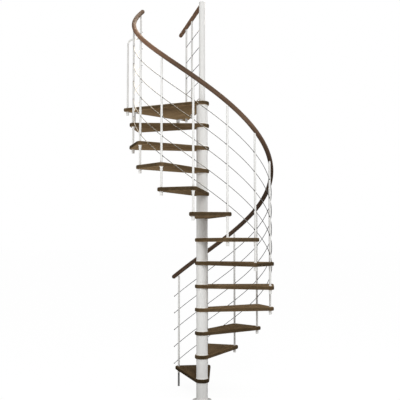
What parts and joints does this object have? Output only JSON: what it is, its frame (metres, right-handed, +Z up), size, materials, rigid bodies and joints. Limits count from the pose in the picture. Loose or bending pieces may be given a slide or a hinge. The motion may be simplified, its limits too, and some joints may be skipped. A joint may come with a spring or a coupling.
{
  "type": "spiral staircase",
  "caption": "Spiral staircase with wedge wooden treads around a white column, white balusters, thin helical rods, a round wooden handrail and a corner landing with its own rail.",
  "frame": {"origin": "On the column's axis, at the underside of the floor plate", "axes": "+Z up along the column; +X to the right and +Y away from the viewer in the picture's view. Going up, the stair turns clockwise seen from above."},
  "size_m": [1.5012, 1.6909, 3.8895],
  "materials": {
    "white_metal": "smooth semi-matt white powder coat",
    "tread_wood": "dark brown stained hardwood, satin lacquer",
    "white_plastic": "matt white moulded plastic",
    "rail_wood": "mid-brown stained wood, satin lacquer",
    "stainless_rod": "drawn stainless rod, lightly polished",
    "rod_fitting": "dark grey moulded plastic"
  },
  "bodies": {
    "root": {"base_plate": "white_metal", "centre_pole": "white_metal", "pole_cap": "white_metal", "column_spacers": "white_metal", "baluster_00": "white_metal", "baluster_01": "white_metal", "baluster_02": "white_metal", "baluster_03": "white_metal", "baluster_04": "white_metal", "baluster_05": "white_metal", "baluster_06": "white_metal", "baluster_07": "white_metal", "baluster_08": "white_metal", "baluster_09": "white_metal", "baluster_10": "white_metal", "baluster_11": "white_metal", "baluster_12": "white_metal", "landing_posts": "white_metal", "corner_rod": "white_metal", "landing_anchors": "white_metal", "tread_01": "tread_wood", "tread_02": "tread_wood", "tread_03": "tread_wood", "tread_04": "tread_wood", "tread_05": "tread_wood", "tread_06": "tread_wood", "tread_07": "tread_wood", "tread_08": "tread_wood", "tread_09": "tread_wood", "tread_10": "tread_wood", "tread_11": "tread_wood", "tread_12": "tread_wood", "landing": "tread_wood", "baluster_feet": "white_plastic", "baluster_collars": "white_plastic", "handrail": "rail_wood", "landing_rail": "rail_wood", "rail_rod_1": "stainless_rod", "rail_rod_2": "stainless_rod", "rail_rod_3": "stainless_rod", "rail_rod_4": "stainless_rod", "rail_rod_5": "stainless_rod", "landing_rods": "stainless_rod", "rod_bushes": "rod_fitting", "rod_ends": "rod_fitting"}
  },
  "joints": []
}
